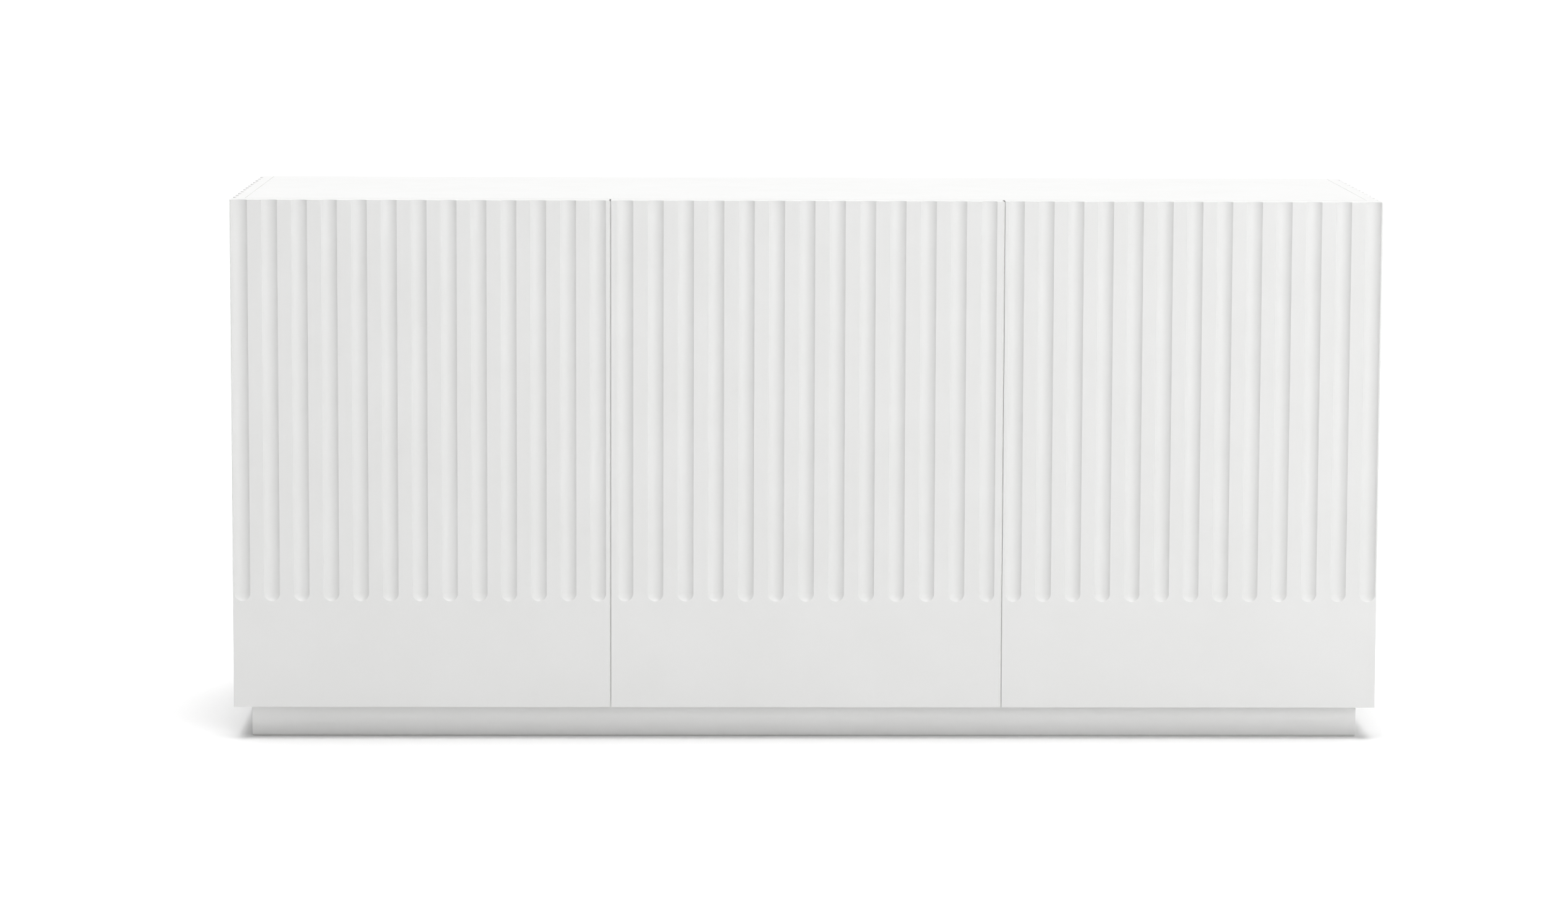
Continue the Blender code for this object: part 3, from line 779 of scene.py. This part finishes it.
def make_pin(bm, place, reach):
    profile = round_profile(PIN_RADIUS, -reach, reach, PIN_SINK / 2, PIN_SINK / 2)
    add_turned(bm, profile, (*place, 0), (0, 0, 1), PIN_SIDES)


def make_cup_shape():
    """A pressed cup with a screw flange, and the pin on which the link turns."""
    rim = FLANGE_LIFT + FLANGE_THICKNESS
    inner = CUP_RADIUS - CUP_WALL
    centre = (CUP_CENTRE, 0, 0)

    def shell(bm):
        profile = round_profile(CUP_RADIUS, -CUP_DEPTH - CUP_FLOOR, -CUP_RIM_DROP, CUP_ROUND)
        add_turned(bm, profile, centre, (0, 1, 0))

    def neck(bm):
        """What joins the shell to the flange, above the door's face."""
        radius, half_width = CUP_RADIUS - HIDDEN_STEP, FLANGE_HALF_WIDTH - HIDDEN_STEP
        first = math.acos(half_width / radius)
        outline = []
        for start in (first, math.pi + first):
            for step in range(NOSE_STEPS + 1):
                turn = start + (math.pi - 2 * first) * step / NOSE_STEPS
                outline.append((radius * math.sin(turn), CUP_CENTRE + radius * math.cos(turn)))
        add_prism(bm, outline, -CUP_DEPTH / 4, rim - HIDDEN_STEP, "zxy")

    def flange(bm):
        outline = rounded_rectangle(
            (-FLANGE_HALF_HEIGHT, CUP_CENTRE - FLANGE_HALF_WIDTH),
            (FLANGE_HALF_HEIGHT, CUP_CENTRE + FLANGE_HALF_WIDTH), FLANGE_CORNER,
        )
        add_prism(bm, outline, FLANGE_LIFT, rim, "zxy", HINGE_EASE)

    def hollow(bm):
        profile = round_profile(inner, -CUP_DEPTH, rim + MARGIN, CUP_ROUND - CUP_WALL / 2)
        add_turned(bm, profile, centre, (0, 1, 0))

    offset = CUP_CENTRE - CUP_PIVOT[0] + PIN_RADIUS
    reach = math.sqrt((inner + CUP_WALL / 2) ** 2 - offset**2)
    item = new_shape("cup_template", shell)
    add_shape(item, neck)
    add_shape(item, flange)
    add_shape(item, hollow, "DIFFERENCE")
    bm = bmesh.new()
    bm.from_mesh(item.data)
    make_pin(bm, CUP_PIVOT, reach)
    bmesh.ops.recalc_face_normals(bm, faces=bm.faces)
    bm.to_mesh(item.data)
    bm.free()
    return item


def bent_path(points, trim):
    """A path whose inner corners are rounded, starting a set distance before each."""
    points = [Vector(point) for point in points]
    path = [points[0]]
    for before, corner, after in zip(points, points[1:], points[2:]):
        start = corner + (before - corner).normalized() * trim
        end = corner + (after - corner).normalized() * trim
        for step in range(CORNER_STEPS + 1):
            share = step / CORNER_STEPS
            path.append(start.lerp(corner, share).lerp(corner.lerp(end, share), share))
    return path + [points[-1]]


def strip_outline(path, thickness):
    """The outline of a bent strip of even thickness."""
    left, right = [], []
    for index, point in enumerate(path):
        before = (point - path[index - 1]).normalized() if index else None
        after = (path[index + 1] - point).normalized() if index < len(path) - 1 else None
        along = ((before or after) + (after or before)).normalized()
        across = Vector((-along.y, along.x))
        straight = before or after
        stretch = 1 / across.dot(Vector((-straight.y, straight.x)))
        left.append(point + across * thickness / 2 * stretch)
        right.append(point - across * thickness / 2 * stretch)
    return left + right[::-1]


def make_link_shape():
    """The cranked strip between the two pins, with an eye at each end."""
    path = bent_path((CUP_PIVOT, LINK_ELBOW, LINK_SHOULDER, ARM_PIVOT), LINK_BEND)
    half = LINK_WIDTH / 2
    reach = half - HIDDEN_STEP
    item = new_shape("link_template", lambda bm: add_prism(
        bm, strip_outline(path, LINK_THICKNESS), -reach, reach, "xyz", HINGE_EASE,
    ))
    for pivot in (CUP_PIVOT, ARM_PIVOT):
        profile = round_profile(LINK_EYE_RADIUS, -half, half, HINGE_EASE, HINGE_EASE)
        add_shape(item, lambda bm: add_turned(
            bm, profile, (*pivot, 0), (0, 0, 1), SMALL_SIDES,
        ))
    for x, y in (CUP_PIVOT, ARM_PIVOT):
        add_shape(item, lambda bm: add_cylinder(
            bm, (x, y, -half - MARGIN), (x, y, half + MARGIN), PIN_RADIUS + PIN_CLEARANCE,
            SMALL_SIDES,
        ), "DIFFERENCE")
    return item


def make_arm_shape(base):
    """The fixed arm on its mounting plate. base is the X of the plate's underside."""
    pin_x, pin_y = ARM_PIVOT
    root = (base + ARM_FLOOR) / 2

    def strip(bm):
        outline = rounded_rectangle(
            (ARM_START, -ARM_HALF_WIDTH), (ARM_START + ARM_LENGTH, ARM_HALF_WIDTH), ARM_CORNER,
        )
        add_prism(bm, outline, base, ARM_FLOOR, "yzx", HINGE_EASE)

    def plate(bm):
        outline = rounded_rectangle(
            (PLATE_CENTRE - PLATE_LENGTH / 2, -PLATE_HEIGHT / 2),
            (PLATE_CENTRE + PLATE_LENGTH / 2, PLATE_HEIGHT / 2), PLATE_CORNER,
        )
        add_prism(bm, outline, base, base + PLATE_THICKNESS, "yzx", HINGE_EASE)

    def raised(start, end, crest, corner):
        """A side view with two rounded upper corners."""
        return [
            (start, root), (end, root),
            *corner_arc((end - corner, crest - corner), 0, corner),
            *corner_arc((start + corner, crest - corner), 1, corner),
        ]

    def cheek(side):
        outline = raised(
            pin_y - ARM_CHEEK_LENGTH / 2, pin_y + ARM_CHEEK_LENGTH / 2, ARM_CREST,
            (ARM_CREST - ARM_FLOOR) * ARM_CHEEK_ROUNDING,
        )
        ends = sorted((side * ARM_INNER_HALF_WIDTH, side * ARM_HALF_WIDTH))
        return lambda bm: add_prism(bm, outline, *ends, "yxz", HINGE_EASE)

    def rear(bm):
        outline = raised(
            ARM_REAR_START, ARM_REAR_END, ARM_REAR_CREST,
            (ARM_REAR_CREST - ARM_FLOOR) * ARM_REAR_ROUNDING,
        )
        half = (ARM_INNER_HALF_WIDTH + ARM_HALF_WIDTH) / 2
        add_prism(bm, outline, -half, half, "yxz", HINGE_EASE)

    item = new_shape("arm_template", strip)
    for shape in (plate, cheek(-1), cheek(1), rear):
        add_shape(item, shape)
    reach = (ARM_INNER_HALF_WIDTH + ARM_HALF_WIDTH) / 2 + PIN_SINK
    add_shape(item, lambda bm: make_pin(bm, (pin_x, pin_y), reach))
    return item


def hinge_matrix(label, z):
    """From the hinge's plan to its place at one door."""
    low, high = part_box(f"door_{label}")
    flip = -1 if label == "right" else 1
    edge = high.x if label == "right" else low.x
    place = Vector((edge + flip * SIDE_THICKNESS, high.y, z))
    return Matrix.Translation(place) @ Matrix.Diagonal((flip, 1, 1, 1))


def place_copy(template, matrix, node, finish, body):
    mesh = template.data.copy()
    mesh.transform(matrix)
    if matrix.determinant() < 0:
        mesh.flip_normals()
    item = bpy.data.objects.new(f"{node}_fine", mesh)
    bpy.context.scene.collection.objects.link(item)
    finish_piece(item, finish, body, [node], sharp=35.0)


def make_hinges():
    cup, link = make_cup_shape(), make_link_shape()
    for label in ("left", "middle", "right"):
        arm = None
        for level in ("lower", "upper"):
            cup_low, cup_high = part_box(f"hinge_cup_{label}_{level}")
            matrix = hinge_matrix(label, (cup_low.z + cup_high.z) / 2)
            plan = matrix.inverted()
            arm_node = f"hinge_arm_{label}_{level}"
            base = min((plan @ corner).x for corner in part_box(arm_node))
            arm = arm or make_arm_shape(base)
            place_copy(cup, matrix, f"hinge_cup_{label}_{level}", "steel", f"{label}_door")
            place_copy(
                link, matrix, f"hinge_link_{label}_{level}", "steel", f"{label}_hinge_links",
            )
            place_copy(arm, matrix, arm_node, "zinc", "carcass")
            face = FLANGE_LIFT + FLANGE_THICKNESS
            into_room = matrix.to_3x3() @ Vector((1, 0, 0))
            add_screws(
                f"hinge_cup_screws_{label}_{level}",
                [matrix @ Vector((CUP_CENTRE, face, side * CUP_SCREW_REACH)) for side in (-1, 1)],
                (0, 1, 0), CUP_SCREW, f"{label}_door",
            )
            top = base + PLATE_THICKNESS
            add_screws(
                f"hinge_plate_screws_{label}_{level}",
                [
                    matrix @ Vector((top, PLATE_CENTRE, side * PLATE_SCREW_REACH))
                    for side in (-1, 1)
                ],
                into_room, PLATE_SCREW, "carcass",
            )
            add_screws(
                f"hinge_arm_screws_{label}_{level}",
                [matrix @ Vector((ARM_REAR_CREST, y, 0)) for y in ARM_SCREW_PLACES],
                into_room, ARM_SCREW, "carcass",
            )
        bpy.data.objects.remove(arm)
    bpy.data.objects.remove(cup)
    bpy.data.objects.remove(link)


# ---------------------------------------------------------------------------------------------
# Push latches and shelf pins
# ---------------------------------------------------------------------------------------------

def make_latch(label):
    node = f"latch_housing_{label}"
    low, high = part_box(node)
    plunger_low, plunger_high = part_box(f"latch_plunger_{label}")
    x, z = (plunger_low.x + plunger_high.x) / 2, (plunger_low.z + plunger_high.z) / 2
    bm = bmesh.new()
    add_box(bm, low, high, LATCH_EASE)
    housing = add_object(f"{node}_fine", bm)
    add_shape(housing, lambda bm: add_turned(
        bm, round_profile(
            LATCH_COLLAR_RADIUS, -LATCH_COLLAR_HEIGHT, LATCH_EASE, HINGE_EASE,
        ), (x, low.y, z), (0, 1, 0), SMALL_SIDES,
    ))
    start, end = (x, low.y - MARGIN, z), (x, plunger_high.y + PLUNGER_CLEARANCE, z)
    bore(housing, [(start, end, PLUNGER_BORE_RADIUS)])
    finish_piece(housing, "plastic", "carcass", [node], sharp=40.0)
    add_screws(
        f"latch_screws_{label}", [(x, low.y + y, low.z) for y in LATCH_SCREW_PLACES],
        (0, 0, -1), LATCH_SCREW, "carcass",
    )

    node = f"latch_plunger_{label}"
    radius, length = (plunger_high.x - plunger_low.x) / 2, plunger_high.y - plunger_low.y
    tip = round_profile(PLUNGER_TIP_RADIUS, 0, PLUNGER_TIP_LENGTH, PLUNGER_TIP_RADIUS / 4)[:-1]
    shaft = round_profile(radius, PLUNGER_TIP_LENGTH, length, HINGE_EASE, HINGE_EASE)[1:]
    plunger = new_shape(f"{node}_fine", lambda bm: add_turned(
        bm, tip + shaft, (x, plunger_low.y, z), (0, 1, 0), SMALL_SIDES,
    ))
    finish_piece(plunger, "plastic", f"{label}_plunger", [node], sharp=40.0)

    node = f"strike_plate_{label}"
    low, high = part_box(node)
    radius, thickness = (high.x - low.x) / 2, high.y - low.y
    disc = round_profile(radius, 0, thickness, 0, STRIKE_EASE)[:-1]
    dish = [
        (STRIKE_DISH_RADIUS + STRIKE_DISH_DEPTH, thickness),
        (STRIKE_DISH_RADIUS, thickness - STRIKE_DISH_DEPTH),
        (0.0, thickness - STRIKE_DISH_DEPTH),
    ]
    strike = new_shape(f"{node}_fine", lambda bm: add_turned(
        bm, disc + dish, ((low.x + high.x) / 2, low.y, (low.z + high.z) / 2), (0, 1, 0),
    ))
    finish_piece(strike, "steel", f"{label}_door", [node], sharp=35.0)


def make_shelf_pin(node, faces):
    """A turned pin. faces gives the X of each board face, with the side on which it is seen."""
    low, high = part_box(node)
    radius = (high.z - low.z) / 2
    steps = []
    for face, side in sorted(faces):
        near, far = sorted((face + side * CONTACT, face + side * COLLAR_THICKNESS))
        steps += [(radius, near), (COLLAR_RADIUS, near), (COLLAR_RADIUS, far), (radius, far)]
    ends = round_profile(radius, low.x, high.x, radius / 5, radius / 5)
    half = len(ends) // 2
    place = (0, (low.y + high.y) / 2, (low.z + high.z) / 2)
    pin = new_shape(f"{node}_fine", lambda bm: add_turned(
        bm, ends[:half] + steps + ends[half:], place, (1, 0, 0), SMALL_SIDES,
    ))
    finish_piece(pin, "steel", "carcass", [node], sharp=40.0)


def make_shelf_pins():
    inner_left, inner_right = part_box("side_panel_left")[1].x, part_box("side_panel_right")[0].x
    for row in ("front", "back"):
        make_shelf_pin(f"shelf_pin_left_end_{row}", [(inner_left, 1)])
        make_shelf_pin(f"shelf_pin_right_end_{row}", [(inner_right, -1)])
        for label in ("left", "right"):
            low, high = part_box(f"partition_{label}")
            make_shelf_pin(f"shelf_pin_{label}_partition_{row}", [(low.x, -1), (high.x, 1)])


# ---------------------------------------------------------------------------------------------
# Carcass
# ---------------------------------------------------------------------------------------------

def make_boards():
    eased_board("top_panel", "lacquer", TOP_EASE, end_trim=TOP_END_TRIM)
    eased_board("bottom_panel", "melamine")
    for label in ("left", "middle", "right"):
        eased_board(f"shelf_{label}", "melamine")
        make_back_panel(label)
    for label in ("left", "right"):
        node = f"partition_{label}"
        low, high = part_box(node)
        pins = [f"shelf_pin_{label}_partition_{row}" for row in ("front", "back")]
        bores = pin_bores(low.x, 1, pins, high.x - low.x + PIN_BORE_DEPTH)
        eased_board(node, "melamine", bores=bores)
    for label in ("front", "back", "end_left", "end_right", "cross_rail"):
        eased_board(f"plinth_{label}", "lacquer", SIDE_EASE)
    for label in ("front_left", "front_right", "back_left", "back_right", "middle"):
        eased_board(f"glide_{label}", "glide")


def make_back_panel(label):
    node = f"back_panel_{label}"
    low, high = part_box(node)
    openings = frame["record"]["physics"]["openings"]
    hole = next(opening for opening in openings if opening["name"] == f"{label}_cable_hole")
    ends = [Vector(corner) for corner in hole["box_m"]]
    x, z = (ends[0].x + ends[1].x) / 2, (ends[0].z + ends[1].z) / 2
    margin = high.y - low.y
    bores = [((x, low.y - margin, z), (x, high.y + margin, z), CABLE_HOLE_RADIUS)]
    eased_board(node, "hardboard", BOARD_EASE / 2, bores)
    edges = {
        "left": [high.x - BACK_SCREW_INSET], "right": [low.x + BACK_SCREW_INSET],
        "middle": [low.x + BACK_SCREW_INSET, high.x - BACK_SCREW_INSET],
    }
    first, last = low.z + BACK_SCREW_END_DISTANCE, high.z - BACK_SCREW_END_DISTANCE
    heights = [first + (last - first) * step / (BACK_SCREWS - 1) for step in range(BACK_SCREWS)]
    places = [(x, high.y, z) for x in edges[label] for z in heights]
    add_screws(f"back_screws_{label}", places, (0, 1, 0), BACK_SCREW, "carcass")


for door in ("left", "middle", "right"):
    make_door(door)
    make_latch(door)
make_door_seal("left")
make_door_seal("middle")
make_hinges()
make_shelf_pins()
make_plinth_seals()
make_side_panel("left", -1)
make_side_panel("right", 1)
make_boards()

# ---------------------------------------------------------------------------------------------
# Floor, light and camera
# ---------------------------------------------------------------------------------------------

# The lens looks down at the stand's front from a little left of its middle
CAMERA_PLACE = (-0.1339, -6.550, 1.2443)
CAMERA_PITCH = 6.049
CAMERA_YAW = 0.924
CAMERA_ROLL = 0.211
CAMERA_LENS = 105.05
CAMERA_SHIFT = -0.075

# A surround that is brighter behind the stand, as a lit backdrop is, a soft light overhead and a
# soft box to the right, in front and above
SURROUND_FRONT = 0.11
SURROUND_BACK = 0.95
SURROUND_FROM = -0.2
SURROUND_TO = 0.8
OVERHEAD_TOWARDS = (0.0, -0.1, 1.0)
OVERHEAD_ENERGY = 2.5
OVERHEAD_SPREAD = 40
BOX_PLACE = (4.0, -6.0, 2.6)
BOX_AIM = (0.0, -0.225, 0.45)
BOX_POWER = 167
BOX_SIZE = 2.6
FLOOR_REACH = 80.0


def make_floor():
    bm = bmesh.new()
    bmesh.ops.create_grid(bm, x_segments=8, y_segments=8, size=FLOOR_REACH)
    floor = add_object("studio_floor", bm)
    material = bpy.data.materials.new("studio_floor")
    material.use_nodes = True
    tree = material.node_tree
    shader = tree.nodes["Principled BSDF"]
    shader.inputs["Roughness"].default_value = 0.9
    shader.inputs["Specular IOR Level"].default_value = 0.0
    colour = add_shades(tree, add_noise(tree, 0.8), (0.93, 0.93, 0.93), (0.94, 0.94, 0.94))
    tree.links.new(colour, shader.inputs["Base Color"])
    floor.data.materials.append(material)


def add_sun(name, towards, energy, spread):
    """A sun lamp; towards points from the stand to the lamp."""
    light = bpy.data.lights.new(name, "SUN")
    light.energy = energy
    light.angle = math.radians(spread)
    lamp = bpy.data.objects.new(name, light)
    lamp.rotation_mode = "QUATERNION"
    lamp.rotation_quaternion = Vector(towards).to_track_quat("Z", "Y")
    bpy.context.scene.collection.objects.link(lamp)


def make_lights():
    world = bpy.data.worlds.new("studio")
    world.use_nodes = True
    tree = world.node_tree
    background = tree.nodes["Background"]
    background.inputs["Color"].default_value = (1.0, 1.0, 1.0, 1.0)
    direction = tree.nodes.new("ShaderNodeTexCoord")
    parts = tree.nodes.new("ShaderNodeSeparateXYZ")
    strength = tree.nodes.new("ShaderNodeMapRange")
    strength.interpolation_type = "SMOOTHSTEP"
    strength.inputs["From Min"].default_value = SURROUND_FROM
    strength.inputs["From Max"].default_value = SURROUND_TO
    strength.inputs["To Min"].default_value = SURROUND_FRONT
    strength.inputs["To Max"].default_value = SURROUND_BACK
    tree.links.new(direction.outputs["Generated"], parts.inputs["Vector"])
    tree.links.new(parts.outputs["Y"], strength.inputs["Value"])
    tree.links.new(strength.outputs["Result"], background.inputs["Strength"])
    bpy.context.scene.world = world
    add_sun("overhead", OVERHEAD_TOWARDS, OVERHEAD_ENERGY, OVERHEAD_SPREAD)
    light = bpy.data.lights.new("soft_box", "AREA")
    light.shape = "SQUARE"
    light.size = BOX_SIZE
    light.energy = BOX_POWER
    lamp = bpy.data.objects.new("soft_box", light)
    lamp.location = BOX_PLACE
    lamp.rotation_mode = "QUATERNION"
    away = Vector(BOX_PLACE) - Vector(BOX_AIM)
    lamp.rotation_quaternion = away.to_track_quat("Z", "Y")
    bpy.context.scene.collection.objects.link(lamp)


def make_camera():
    data = bpy.data.cameras.new("camera")
    data.lens = CAMERA_LENS
    data.sensor_width = 36.0
    data.shift_y = CAMERA_SHIFT
    camera = bpy.data.objects.new("camera", data)
    pitch, yaw, roll = map(math.radians, (CAMERA_PITCH, CAMERA_YAW, CAMERA_ROLL))
    forward = Vector((
        math.sin(yaw) * math.cos(pitch), math.cos(yaw) * math.cos(pitch), -math.sin(pitch),
    ))
    right = Vector((math.cos(yaw), -math.sin(yaw), 0))
    up = right.cross(forward)
    turned_right = right * math.cos(roll) + up * math.sin(roll)
    turned_up = up * math.cos(roll) - right * math.sin(roll)
    axes = Matrix((turned_right, turned_up, -forward)).transposed().to_4x4()
    camera.matrix_world = Matrix.Translation(CAMERA_PLACE) @ axes
    bpy.context.scene.collection.objects.link(camera)
    bpy.context.scene.camera = camera


make_floor()
make_lights()
make_camera()
bpy.context.scene.view_settings.view_transform = "Standard"
